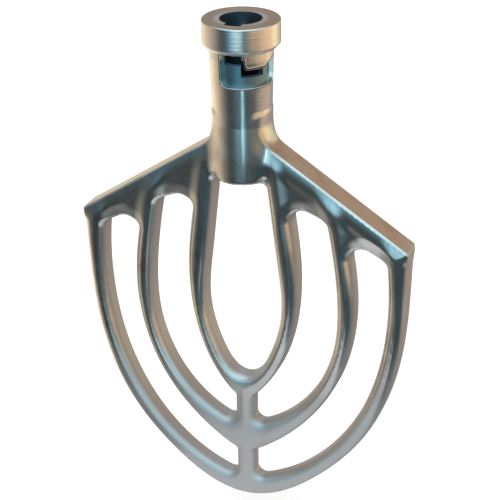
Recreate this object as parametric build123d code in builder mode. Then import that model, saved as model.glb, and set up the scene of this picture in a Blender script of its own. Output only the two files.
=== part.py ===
"""Cast aluminium mixing paddle for the vertical agitator shaft of a planetary mortar mixer.

Frame: origin on the bore's axis at the hub's top face, +Z up the shaft, +X to the paddle's right,
-Y to its front. The paddle hangs down from the origin. Millimetres and degrees. Azimuths run from
the front (-Y) towards the right (+X).
"""
from build123d import *
from math import cos, radians, sin
import os

os.makedirs("parts", exist_ok=True)

# ---- hub: bore, sleeve, collar band and shank ----
BORE_RADIUS = 12.75
SLEEVE_RADIUS = 16.0
SLEEVE_LENGTH = 75.0
COLLAR_RADIUS = 23.4
COLLAR_HEIGHT = 16.5
COLLAR_CHAMFER = 2.6
COLLAR_TOP_EASE = 0.6
NECK_RADIUS = 19.1
NECK_LENGTH = 22.0
SHANK_RADIUS = 17.9
TAPER_END_Z = -62.0
HUB_FOOT_Z = -99.0
SHAFT_END_RADIUS = 11.5
SHAFT_END_DEPTH = 80.0

# ---- window in the shank wall, and the catch that is spared over its right half ----
WINDOW_FROM = -22.0
WINDOW_TO = 105.0
WINDOW_TOP_Z = -13.0
WINDOW_FOOT_Z = -37.0
WINDOW_CORNER = 4.0
CUTTER_SPARE = 2.0
CATCH_FACING = 60.0
CATCH_LEFT_TOP = 21.0
CATCH_LEFT_FOOT = 28.0
CATCH_RIGHT_FOOT = 65.0
CATCH_RIGHT_SHOULDER = 96.0
CATCH_FOOT_Z = -25.8
CATCH_SHOULDER_Z = -21.5

# ---- slot in the sleeve for the shaft's 9.5 mm cross pin: entry from the top, and seat to its right ----
PIN_SLOT = 10.4
ENTRY_AZIMUTH = 1.5
ENTRY_FOOT_Z = -24.0
SEAT_FROM = 19.0
SEAT_TO = 72.0
SEAT_FOOT_Z = -31.2

# ---- dowels that lock the sleeve in the shank ----
DOWEL_RADIUS = 2.0
DOWEL_Z = -50.0
DOWEL_AZIMUTHS = (150.0, 210.0)
DOWEL_TIP = 13.6
DOWEL_HEAD = 18.45

# ---- flat frame of arms, loops and spine ----
HEAD_DEPTH = 21.4
FOOT_DEPTH = 14.1
BAR_NOSE = 4.4
RIM_NOSE = 3.5
SHOULDER_X = 106.9
SHOULDER_Z = -132.7
ARM_SLOPE = 0.65
ARM_ROOT_X = 14.0
ARM_FLARE = 22.0
FLARE_TOP_Z = -56.0
TIP_Z = -328.9
SPINE_HALF = 6.4
GAP_CORNER = 8.0
SPINE_CORNER = 5.0
RIM_FROM_Z = -100.0
CENTRE_GAP_LEAN = 0.12


def arm_top(x):
    """Height of an arm's top edge at distance x from the axis."""
    return SHOULDER_Z + ARM_SLOPE * (SHOULDER_X - x)


def edge_on(azimuth):
    """Plane through the axis whose local x points outwards along the azimuth and local y up."""
    a = radians(azimuth)
    return Plane(origin=(0, 0, 0), x_dir=(sin(a), -cos(a), 0), z_dir=(-cos(a), -sin(a), 0))


def facing(azimuth):
    """Plane through the axis that faces outwards along the azimuth, with local y up."""
    a = radians(azimuth)
    return Plane(origin=(0, 0, 0), x_dir=(cos(a), sin(a), 0), z_dir=(sin(a), -cos(a), 0))


# ---- the piece of shank wall that the window takes away ----
with BuildPart() as window_block:
    with BuildSketch(edge_on(WINDOW_FROM)):
        with Locations((SLEEVE_RADIUS, (WINDOW_TOP_Z + WINDOW_FOOT_Z) / 2)):
            Rectangle(2 * (NECK_RADIUS - SLEEVE_RADIUS) + CUTTER_SPARE, WINDOW_TOP_Z - WINDOW_FOOT_Z)
    revolve(axis=Axis.Z, revolution_arc=WINDOW_TO - WINDOW_FROM)
    fillet(window_block.edges().group_by(Axis.Z)[0].filter_by(GeomType.LINE), WINDOW_CORNER)
    # the catch keeps its full wall: a flap with a slanting left side and a long slope on its right
    with BuildSketch(facing(CATCH_FACING)):
        with BuildLine():
            Polyline(
                (NECK_RADIUS * sin(radians(CATCH_LEFT_TOP - CATCH_FACING)), 0),
                (NECK_RADIUS * sin(radians(CATCH_LEFT_TOP - CATCH_FACING)), -COLLAR_HEIGHT),
                (NECK_RADIUS * sin(radians(CATCH_LEFT_FOOT - CATCH_FACING)), CATCH_FOOT_Z),
                (NECK_RADIUS * sin(radians(CATCH_RIGHT_FOOT - CATCH_FACING)), CATCH_FOOT_Z),
                (NECK_RADIUS * sin(radians(CATCH_RIGHT_SHOULDER - CATCH_FACING)), CATCH_SHOULDER_Z),
                (NECK_RADIUS, CATCH_SHOULDER_Z),
                (NECK_RADIUS, 0),
                close=True,
            )
        make_face()
    extrude(amount=COLLAR_RADIUS, mode=Mode.SUBTRACT)


# ---- outlines of the gaps in the right half of the frame, local x to the right and local y up ----
with BuildSketch() as outer_gap:
    with BuildLine():
        inner_side = Spline(
            (66.8, -127.8), (73.3, -183.0), (64.4, -228.0), (35.9, -270.9), (SPINE_HALF, -293.5)
        )
        outer_side = Spline(
            (SPINE_HALF, -316.5), (37.6, -301.3), (71.9, -262.0), (90.3, -211.4), (92.6, -141.0)
        )
        Line(inner_side @ 0, outer_side @ 1)
        Line(inner_side @ 1, outer_side @ 0)
    make_face()
    fillet(outer_gap.vertices().group_by(Axis.Y)[-2:], GAP_CORNER)
    fillet(outer_gap.vertices().group_by(Axis.X)[0], SPINE_CORNER)

with BuildSketch() as middle_gap:
    with BuildLine():
        inner_side = Spline((30.5, -110.2), (36.3, -175.0), (27.5, -220.0), (SPINE_HALF, -252.0))
        outer_side = Spline(
            (SPINE_HALF, -274.5), (36.5, -254.4), (59.3, -210.0), (61.1, -164.6), (54.4, -119.5)
        )
        Line(inner_side @ 0, outer_side @ 1)
        Line(inner_side @ 1, outer_side @ 0)
    make_face()
    fillet(middle_gap.vertices().group_by(Axis.Y)[-2:], GAP_CORNER)
    fillet(middle_gap.vertices().group_by(Axis.X)[0], SPINE_CORNER)

with BuildSketch() as centre_gap:
    with BuildLine():
        side = Spline(
            (16.4, HUB_FOOT_Z), (22.7, -153.9), (25.3, -181.0), (17.0, -220.0), (0, -238.3),
            tangents=[(CENTRE_GAP_LEAN, -1), (-1, 0)],
        )
        Polyline(side @ 0, (0, HUB_FOOT_Z), side @ 1)
    make_face()


with BuildSketch() as half_outline:
    with BuildLine():
        Polyline(
            (0, FLARE_TOP_Z),
            (ARM_ROOT_X, FLARE_TOP_Z),
            (ARM_ROOT_X, arm_top(ARM_ROOT_X)),
            (SHOULDER_X, SHOULDER_Z),
        )
        Spline(
            (SHOULDER_X, SHOULDER_Z), (106.2, -168.0), (101.1, -216.0), (85.1, -261.5), (51.0, -303.7),
            (0, TIP_Z),
            tangents=[(0, -1), (-1, 0)],
        )
        Line((0, TIP_Z), (0, FLARE_TOP_Z))
    make_face()
    fillet(half_outline.vertices().sort_by_distance((ARM_ROOT_X, arm_top(ARM_ROOT_X), 0))[0], ARM_FLARE)


# ---- the casting: frame, shank and neck in one ----
with BuildPart() as paddle_casting:
    with BuildSketch(Plane.XZ):
        add(half_outline.sketch)
        add(outer_gap.sketch, mode=Mode.SUBTRACT)
        add(middle_gap.sketch, mode=Mode.SUBTRACT)
        add(centre_gap.sketch, mode=Mode.SUBTRACT)
        mirror(about=Plane.YZ)
    extrude(amount=HEAD_DEPTH / 2, both=True)
    # front and back draw together from the arms down to the tip
    with BuildSketch(Plane.YZ):
        with BuildLine():
            Polyline(
                (-HEAD_DEPTH / 2, FLARE_TOP_Z),
                (HEAD_DEPTH / 2, FLARE_TOP_Z),
                (FOOT_DEPTH / 2, TIP_Z),
                (-FOOT_DEPTH / 2, TIP_Z),
                close=True,
            )
        make_face()
    extrude(amount=2 * SHOULDER_X, both=True, mode=Mode.INTERSECT)
    for side in (0, -1):
        face = paddle_casting.faces().sort_by(Axis.Y)[side]
        gap_rims = ShapeList([rim for wire in face.inner_wires() for rim in wire.edges()])
        fillet(gap_rims.filter_by(lambda rim: rim.center().Z < RIM_FROM_Z), BAR_NOSE)
        face = paddle_casting.faces().sort_by(Axis.Y)[side]
        fillet(face.outer_wire().edges().sort_by(SortBy.LENGTH)[-1], RIM_NOSE)
    with BuildSketch(Plane.XZ):
        with BuildLine():
            Polyline(
                (0, 0),
                (NECK_RADIUS, 0),
                (NECK_RADIUS, -NECK_LENGTH),
                (SHANK_RADIUS, TAPER_END_Z),
                (SHANK_RADIUS, HUB_FOOT_Z),
                (0, HUB_FOOT_Z),
                close=True,
            )
        make_face()
    revolve(axis=Axis.Z)

    Hole(radius=SLEEVE_RADIUS, depth=SLEEVE_LENGTH)
    Hole(radius=SHAFT_END_RADIUS, depth=SHAFT_END_DEPTH)
    add(window_block.part, mode=Mode.SUBTRACT)
    for azimuth in DOWEL_AZIMUTHS:
        with BuildSketch(facing(azimuth)):
            with Locations((0, DOWEL_Z)):
                Circle(DOWEL_RADIUS)
        extrude(amount=COLLAR_RADIUS, mode=Mode.SUBTRACT)
paddle_casting.part.label = "paddle_casting"


# ---- the pin's seat in the sleeve, lower than the entry's foot and to its right ----
with BuildPart() as pin_seat:
    with BuildSketch(edge_on(SEAT_FROM)):
        with Locations((SLEEVE_RADIUS, SEAT_FOOT_Z + PIN_SLOT / 2)):
            Rectangle(SLEEVE_RADIUS, PIN_SLOT)
    revolve(axis=Axis.Z, revolution_arc=SEAT_TO - SEAT_FROM)


# ---- the bored steel sleeve with the slot for the shaft's cross pin ----
with BuildPart() as drive_sleeve:
    Cylinder(SLEEVE_RADIUS, SLEEVE_LENGTH, align=(Align.CENTER, Align.CENTER, Align.MAX))
    Hole(radius=BORE_RADIUS, depth=SLEEVE_LENGTH)
    with BuildSketch(facing(ENTRY_AZIMUTH)):
        Rectangle(PIN_SLOT, -ENTRY_FOOT_Z, align=(Align.CENTER, Align.MAX))
    extrude(amount=COLLAR_RADIUS, mode=Mode.SUBTRACT)
    add(pin_seat.part, mode=Mode.SUBTRACT)
    for azimuth in DOWEL_AZIMUTHS:
        with BuildSketch(facing(azimuth).offset(DOWEL_TIP)):
            with Locations((0, DOWEL_Z)):
                Circle(DOWEL_RADIUS)
        extrude(amount=COLLAR_RADIUS - DOWEL_TIP, mode=Mode.SUBTRACT)
drive_sleeve.part.label = "drive_sleeve"


# ---- the band shrunk round the slotted neck ----
with BuildPart() as collar_band:
    Cylinder(COLLAR_RADIUS, COLLAR_HEIGHT, align=(Align.CENTER, Align.CENTER, Align.MAX))
    chamfer(collar_band.faces().sort_by(Axis.Z)[0].edges(), COLLAR_CHAMFER)
    chamfer(collar_band.faces().sort_by(Axis.Z)[-1].edges(), COLLAR_TOP_EASE)
    Hole(radius=NECK_RADIUS, depth=COLLAR_HEIGHT)
collar_band.part.label = "collar_band"


# ---- two dowels from the shank's back into the sleeve ----
with BuildPart() as sleeve_dowels:
    for azimuth in DOWEL_AZIMUTHS:
        with BuildSketch(facing(azimuth).offset(DOWEL_TIP)):
            with Locations((0, DOWEL_Z)):
                Circle(DOWEL_RADIUS)
        extrude(amount=DOWEL_HEAD - DOWEL_TIP)
sleeve_dowels.part.label = "sleeve_dowels"


export_step(paddle_casting.part, "parts/paddle_casting.step")
export_step(drive_sleeve.part, "parts/drive_sleeve.step")
export_step(collar_band.part, "parts/collar_band.step")
export_step(sleeve_dowels.part, "parts/sleeve_dowels.step")
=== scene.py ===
"""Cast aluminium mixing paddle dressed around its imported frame, with its studio.

Lengths inside the classes are millimetres in the frame's own axes: the origin lies on the bore's axis at the
hub's top face, +Z runs up the shaft, +X to the paddle's right and -Y to its front. Meshes are written in
metres.
"""

import logging
from dataclasses import dataclass, field

import bpy
import numpy as np
from mathutils import Matrix, Vector
from mathutils.geometry import delaunay_2d_cdt


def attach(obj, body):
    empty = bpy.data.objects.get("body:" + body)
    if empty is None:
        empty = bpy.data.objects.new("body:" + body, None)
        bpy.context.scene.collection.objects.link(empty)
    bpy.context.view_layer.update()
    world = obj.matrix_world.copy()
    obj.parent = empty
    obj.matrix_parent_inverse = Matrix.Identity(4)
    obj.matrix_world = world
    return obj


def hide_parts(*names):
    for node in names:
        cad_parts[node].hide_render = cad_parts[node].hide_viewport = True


Array = np.ndarray
METRES = 0.001
WELD_GRID = 0.002
SPAN_POINTS = 60
FINE_STEP = 0.5
EDGE_STEP = 1.3
ARC_STEP = 0.12
BATCH = 4000
LOG = logging.getLogger("mixing_paddle")

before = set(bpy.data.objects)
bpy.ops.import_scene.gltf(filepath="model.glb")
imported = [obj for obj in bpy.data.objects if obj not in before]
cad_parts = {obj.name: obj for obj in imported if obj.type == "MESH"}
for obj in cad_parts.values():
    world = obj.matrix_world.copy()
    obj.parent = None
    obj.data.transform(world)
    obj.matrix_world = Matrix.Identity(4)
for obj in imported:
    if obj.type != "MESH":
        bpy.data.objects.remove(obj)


@dataclass(frozen=True)
class MetalFinish:
    """One metal finish: its colours, how it scatters light and how rough it feels."""

    label: str
    clean: tuple[float, float, float, float]
    stained: tuple[float, float, float, float]
    # Colour where the metal is not buffed. The sleeve has no polish attribute, so this colour covers the
    # whole sleeve, and its teal there is painted reflection of the dark bluish room.
    unbuffed_and_painted_reflection: tuple[float, float, float, float]
    # Colour of the top face: the tone of a cut face, made darker and warmer as painted reflection of the warm
    # room behind that the flat top mirrors.
    faced_and_painted_reflection: tuple[float, float, float, float]
    polished_roughness: float
    matte_roughness: float
    grain_size: float
    grain_height: float
    stroke_stretch: tuple[float, float, float]
    stroke_height: float
    anisotropy: float


@dataclass
class Patch:
    """Part of a surface: points in millimetres, a normal for each, and faces of three or four points."""

    points: Array
    normals: Array
    faces: list[Array]
    polish: Array | None = None


# ------------------------------------------------------------------ curves in a plane


def unit(vectors: Array) -> Array:
    """Vectors brought to length one."""
    return vectors / np.maximum(np.linalg.norm(vectors, axis=-1, keepdims=True), 1e-12)


def smoothstep(low: float, high: float, value: Array) -> Array:
    """Rises smoothly from 0 at low to 1 at high."""
    share = np.clip((value - low) / (high - low), 0.0, 1.0)
    return share * share * (3.0 - 2.0 * share)


def spaced(points: Array, step: float) -> Array:
    """Points set evenly along a run of points.

    Args:
        points: The run, one row for each point.
        step: Wanted distance between neighbours.

    Returns:
        The same run with its first and last point kept and its points about one step apart.
    """
    run = np.r_[0.0, np.cumsum(np.linalg.norm(np.diff(points, axis=0), axis=1))]
    at = np.linspace(0.0, run[-1], max(2, int(np.ceil(run[-1] / step)) + 1))
    return np.column_stack([np.interp(at, run, points[:, 0]), np.interp(at, run, points[:, 1])])


def spline(knots: Array, step: float, ends: Array | None = None) -> Array:
    """Smooth curve through knots: a cubic in each span, with slope and bend carried from span to span.

    The slopes at the knots solve the usual three-term rows, with chord lengths as the parameter. The slope at
    each end is the given direction, or that of the one cubic through the four knots nearest to that end.

    Args:
        knots: Points that the curve passes through.
        step: Distance between the points returned.
        ends: Directions at the first and last knot, or None.

    Returns:
        Points along the curve.
    """
    span = np.linalg.norm(np.diff(knots, axis=0), axis=1)
    rise = np.diff(knots, axis=0) / span[:, None]
    count = len(knots)
    rows = np.zeros((count, count))
    wanted = np.zeros((count, 2))
    inner = np.arange(1, count - 1)
    rows[inner, inner - 1] = span[inner]
    rows[inner, inner] = 2.0 * (span[inner - 1] + span[inner])
    rows[inner, inner + 1] = span[inner - 1]
    wanted[inner] = 3.0 * (span[inner, None] * rise[inner - 1] + span[inner - 1, None] * rise[inner])
    rows[0, 0] = rows[-1, -1] = 1.0
    run = np.r_[0.0, np.cumsum(span)]
    if ends is None:
        wanted[0] = np.linalg.solve(np.vander(run[:4] - run[0], 4), knots[:4])[2]
        wanted[-1] = np.linalg.solve(np.vander(run[-4:] - run[-1], 4), knots[-4:])[2]
    else:
        wanted[0], wanted[-1] = unit(ends)
    slope = np.linalg.solve(rows, wanted)
    share = np.linspace(0.0, 1.0, SPAN_POINTS)[None, :, None]
    start, end = knots[:-1, None], knots[1:, None]
    leave, arrive = slope[:-1, None] * span[:, None, None], slope[1:, None] * span[:, None, None]
    curve = (
        start * (1 + 2 * share) * (1 - share) ** 2
        + leave * share * (1 - share) ** 2
        + end * share**2 * (3 - 2 * share)
        + arrive * share**2 * (share - 1)
    )
    return spaced(curve.reshape(-1, 2), step)


def rounded_corner(before: Array, after: Array, radius: float) -> tuple[Array, Array, Array]:
    """Rounds the corner where one run ends and the next starts.

    The arc's centre is the point one radius off the first run, on the side it turns to, that is also one
    radius away from the second run.

    Args:
        before: Run that ends at the corner.
        after: Run that starts at the corner.
        radius: Radius of the arc.

    Returns:
        The first run cut back to the arc, the arc without its ends, and the second run cut back to the arc.
    """
    reach = 0.05
    first, second = spaced(before, reach), spaced(after, reach)
    along = unit(np.gradient(first, axis=0))
    leaving = second[1] - second[0]
    turn = np.sign(along[-1, 0] * leaving[1] - along[-1, 1] * leaving[0])
    centres = first + radius * turn * np.column_stack([-along[:, 1], along[:, 0]])
    near = int(4.0 * radius / reach)
    centres, target = centres[-near:], second[:near]
    apart = np.linalg.norm(centres[:, None] - target[None], axis=2)
    clear = np.flatnonzero(apart.min(axis=1) >= radius)[-1]
    centre, landing = centres[clear], int(np.argmin(apart[clear]))
    kept = first[: len(first) - len(centres) + clear + 1]
    start = np.arctan2(*(kept[-1] - centre)[::-1])
    sweep = np.arctan2(*(second[landing] - centre)[::-1]) - start
    sweep = (sweep + np.pi) % (2 * np.pi) - np.pi
    angle = start + sweep * np.linspace(0, 1, max(4, int(abs(sweep) / ARC_STEP) + 2))[1:-1]
    arc = centre + radius * np.column_stack([np.cos(angle), np.sin(angle)])
    return kept, arc, second[landing:]


def rounded_loop(sides: list[Array], radii: list[float], step: float) -> Array:
    """Closed outline of several sides with rounded corners.

    Args:
        sides: Runs of points, each ending where the next starts.
        radii: Radius of the corner after each side, or 0 for a sharp corner.
        step: Distance between the points of the sides.

    Returns:
        Points of the closed outline, the first not repeated.
    """
    sides = list(sides)
    arcs: list[Array] = [np.zeros((0, 2))] * len(sides)
    for i, radius in enumerate(radii):
        j = (i + 1) % len(sides)
        if radius > 0:
            sides[i], arcs[i], sides[j] = rounded_corner(sides[i], sides[j], radius)
    runs = []
    for side, arc in zip(sides, arcs):
        side = spaced(side, step)
        runs += [side, arc] if len(arc) else [side[:-1]]
    return np.vstack(runs)


def rounded_polygon(corners: Array, radii: list[float], step: float) -> Array:
    """Closed outline through straight-sided corners, each rounded by its own radius."""
    sides = [np.array([corners[i], corners[(i + 1) % len(corners)]]) for i in range(len(corners))]
    return rounded_loop(sides, radii[1:] + radii[:1], step)


def within(points: Array, loops: list[Array]) -> Array:
    """True for points that a ray to the right leaves through an odd number of the loops' edges."""
    crossings = np.zeros(len(points), int)
    for loop in loops:
        start, end = loop, np.roll(loop, -1, axis=0)
        spans = (start[None, :, 1] > points[:, None, 1]) != (end[None, :, 1] > points[:, None, 1])
        rise = np.where(end[:, 1] == start[:, 1], 1e-12, end[:, 1] - start[:, 1])
        at = start[:, 0] + (points[:, None, 1] - start[:, 1]) / rise * (end[:, 0] - start[:, 0])
        crossings += (spans & (points[:, None, 0] < at)).sum(axis=1)
    return crossings % 2 == 1


def nearest(points: Array, loops: list[Array]) -> tuple[Array, Array]:
    """Distance from each point to the loops, and the vector to it from the nearest place on them."""
    start = np.vstack(loops)
    along = np.vstack([np.roll(loop, -1, axis=0) for loop in loops]) - start
    square = np.maximum((along**2).sum(axis=1), 1e-12)
    distance, away = np.empty(len(points)), np.empty((len(points), 2))
    for at in range(0, len(points), BATCH):
        some = points[at : at + BATCH]
        off = some[:, None] - start[None]
        share = np.clip((off * along[None]).sum(axis=2) / square, 0, 1)
        off -= share[..., None] * along[None]
        reach = (off**2).sum(axis=2)
        best = reach.argmin(axis=1)
        rows = np.arange(len(some))
        distance[at : at + BATCH] = np.sqrt(reach[rows, best])
        away[at : at + BATCH] = off[rows, best]
    return distance, away


# ------------------------------------------------------------------ surfaces


def grid_patch(points: Array, flip: bool = False) -> Patch:
    """Surface over a grid of points, a function of a row and a column parameter.

    A point's normal is the cross product of the surface's change along the row and along the column there.

    Args:
        points: Grid of points, rows by columns by three. The last column joins the first.
        flip: Turn the faces and normals to the other side.

    Returns:
        The surface, one four-sided face for each grid cell.
    """
    rows, columns = points.shape[:2]
    across = np.roll(points, -1, axis=1) - np.roll(points, 1, axis=1)
    normals = unit(np.cross(across, np.gradient(points, axis=0)))
    index = np.arange(rows * columns).reshape(rows, columns)
    index = np.column_stack([index, index[:, :1]])
    corners = [index[:-1, :-1], index[:-1, 1:], index[1:, 1:], index[1:, :-1]]
    faces = np.stack(corners, axis=-1).reshape(-1, 4)
    if flip:
        faces, normals = faces[:, ::-1], -normals
    return Patch(points.reshape(-1, 3), normals.reshape(-1, 3), [faces])


def turned(profile: Array, angle: Array) -> Patch:
    """Surface of revolution: a profile of radii and heights carried through angles round the axis."""
    radius, height = profile[:, 0, None], profile[:, 1, None]
    level = np.broadcast_to(height, (len(profile), len(angle)))
    return grid_patch(np.stack([radius * np.sin(angle), -radius * np.cos(angle), level], axis=-1))


def surface_net(values: Array, origin: Array, step: float) -> tuple[Array, Array]:
    """Surface where a sampled function of three coordinates is zero.

    Each grid cell that the surface passes through gets one point, the mean of the places where its twelve
    edges change sign. Each grid edge that changes sign gets one face between the four cells round it.

    Args:
        values: The function at the grid's nodes, negative inside.
        origin: Place of the first node.
        step: Distance between nodes.

    Returns:
        Points, and four-sided faces that face outwards. The surface is open where it leaves the grid.
    """
    inside = values < 0
    shape = np.array(values.shape)
    low = [slice(0, n - 1) for n in shape]
    high = [slice(1, n) for n in shape]
    count = np.zeros(shape - 1, np.int8)
    for pick in np.ndindex(2, 2, 2):
        count += inside[tuple(high[a] if pick[a] else low[a] for a in range(3))]
    crossed = (count > 0) & (count < 8)
    cells = np.argwhere(crossed)
    number = np.full(crossed.shape, -1)
    number[crossed] = np.arange(len(cells))
    total, hits = np.zeros((len(cells), 3)), np.zeros((len(cells), 1))
    steps = np.eye(3, dtype=int)
    for axis in range(3):
        for pick in np.ndindex(2, 2):
            near = cells + pick[0] * steps[(axis + 1) % 3] + pick[1] * steps[(axis + 2) % 3]
            far = near + steps[axis]
            first, last = values[tuple(near.T)], values[tuple(far.T)]
            changes = (first < 0) != (last < 0)
            share = np.where(changes, first / np.where(changes, first - last, 1.0), 0.0)
            total += np.where(changes[:, None], near + share[:, None] * steps[axis], 0.0)
            hits[:, 0] += changes
    points = origin + step * total / hits
    faces = []
    for axis in range(3):
        right, up = (axis + 1) % 3, (axis + 2) % 3
        window = [slice(1, n - 1) for n in shape]
        window[axis] = slice(0, shape[axis] - 1)
        beyond = list(window)
        beyond[axis] = slice(1, shape[axis])
        here, there = inside[tuple(window)], inside[tuple(beyond)]
        edges = np.argwhere(here != there)
        leaves = here[tuple(edges.T)]
        edges = edges + 1 - steps[axis]
        ring = [edges - steps[right] - steps[up], edges - steps[up], edges, edges - steps[right]]
        quads = np.stack([number[tuple(cell.T)] for cell in ring], axis=-1)
        faces.append(np.where(leaves[:, None], quads, quads[:, ::-1]))
    return points, np.vstack(faces)


def bent_plate(
    rims: list[Array], holes: list[Array], spacing: float, width: float
) -> tuple[Array, list[Array], Array]:
    """Triangles that fill a flat strip, which is then bent round the hub.

    The strip's ends are the first and last points of the rims. They lie on the same line of the hub's back.

    Args:
        rims: The upper and the lower edge, from the strip's left end to its right end.
        holes: Closed outlines cut out of the strip.
        spacing: Distance between the points that fill it.
        width: Distance from the left end to the right end.

    Returns:
        The flat points, the numbers of the points along each rim and hole, and the triangles.
    """
    upper, lower = rims
    ends = np.linspace(upper[0, 1], lower[0, 1], max(3, int((upper[0, 1] - lower[0, 1]) / spacing)))[1:-1]
    left = np.column_stack([np.full(len(ends), upper[0, 0]), ends])
    outline = np.vstack([upper, left + [width, 0], lower[::-1], left[::-1]])
    across = np.arange(upper[0, 0] + spacing, upper[0, 0] + width - 0.5 * spacing, spacing)
    down = np.arange(lower[:, 1].min() + spacing, upper[:, 1].max(), spacing)
    fill = np.stack(np.meshgrid(across, down), axis=-1)
    fill[1::2, :, 0] += 0.5 * spacing
    fill = fill.reshape(-1, 2)
    keep = within(fill, [outline] + holes) & (nearest(fill, [outline] + holes)[0] > 0.6 * spacing)
    parts = [outline] + holes + [fill[keep]]
    points = np.vstack(parts)
    firsts = np.cumsum([0] + [len(part) for part in parts])
    loops = [np.arange(firsts[i], firsts[i + 1]) for i in range(len(parts) - 1)]
    bounds = np.vstack([np.column_stack([loop, np.roll(loop, -1)]) for loop in loops])
    made = delaunay_2d_cdt([Vector(p) for p in points], bounds.tolist(), [], 0, 1e-5)
    source = np.array([origin[0] for origin in made[3]])
    triangles = source[np.array(made[2])]
    triangles = triangles[within(points[triangles].mean(axis=1), [outline] + holes)]
    p = points[triangles]
    area = np.cross(p[:, 1] - p[:, 0], p[:, 2] - p[:, 0])
    triangles = np.where(area[:, None] > 0, triangles, triangles[:, ::-1])
    n = len(upper)
    rim_numbers = [np.arange(n), np.arange(n + len(ends), n + len(ends) + len(lower))[::-1]]
    return points, rim_numbers + loops[1:], triangles


def write_mesh(name: str, patches: list[Patch], material: bpy.types.Material, node: str) -> bpy.types.Object:
    """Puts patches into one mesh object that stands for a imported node.

    Points that share a place are welded, and each corner of a face keeps its own patch's normal, so patches
    meet in a crisp edge only where their normals differ.

    Args:
        name: Name of the piece.
        patches: The surfaces that close it.
        material: Its finish.
        node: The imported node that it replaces.

    Returns:
        The finished object, at the origin and riding on the root body.
    """
    firsts = np.cumsum([0] + [len(patch.points) for patch in patches])
    points = np.vstack([patch.points for patch in patches])
    normals = np.vstack([patch.normals for patch in patches])
    polish = np.concatenate([np.ones(len(p.points)) if p.polish is None else p.polish for p in patches])
    _, chosen, welded = np.unique(
        np.rint(points / WELD_GRID).astype(np.int64), axis=0, return_index=True, return_inverse=True
    )
    welded = welded.ravel()
    corners, sizes = [], []
    for first, patch in zip(firsts, patches):
        for faces in patch.faces:
            faces = faces + first
            places = welded[faces]
            repeated = (places == np.roll(places, -1, axis=1)).sum(axis=1)
            whole = faces[repeated == 0]
            corners.append(whole.ravel())
            sizes.append(np.full(len(whole), faces.shape[1]))
            if faces.shape[1] == 4:
                pinched = faces[repeated == 1]
                if len(pinched):
                    same = places[repeated == 1] == np.roll(places[repeated == 1], -1, axis=1)
                    corners.append(pinched[~same])
                    sizes.append(np.full(len(pinched), 3))
    corner = np.concatenate(corners)
    size = np.concatenate(sizes)
    mesh = bpy.data.meshes.new(name)
    mesh.vertices.add(len(chosen))
    mesh.vertices.foreach_set("co", (points[chosen] * METRES).astype(np.float32).ravel())
    mesh.loops.add(len(corner))
    mesh.loops.foreach_set("vertex_index", welded[corner].astype(np.int32))
    mesh.polygons.add(len(size))
    mesh.polygons.foreach_set("loop_start", np.r_[0, np.cumsum(size)[:-1]].astype(np.int32))
    mesh.polygons.foreach_set("use_smooth", np.ones(len(size), bool))
    mesh.update(calc_edges=True)
    worn = mesh.attributes.new("polish", "FLOAT", "POINT")
    worn.data.foreach_set("value", polish[chosen].astype(np.float32))
    mesh.validate()
    if len(mesh.loops) == len(corner):
        mesh.normals_split_custom_set(normals[corner].astype(np.float32))
    mesh.materials.append(material)
    piece = bpy.data.objects.new(name, mesh)
    bpy.context.scene.collection.objects.link(piece)
    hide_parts(node)
    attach(piece, "root")
    triangles = int((size - 2).sum())
    LOG.info("%s: %d points, %d triangles", name, len(chosen), triangles)
    return piece


# ------------------------------------------------------------------ the casting


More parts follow.
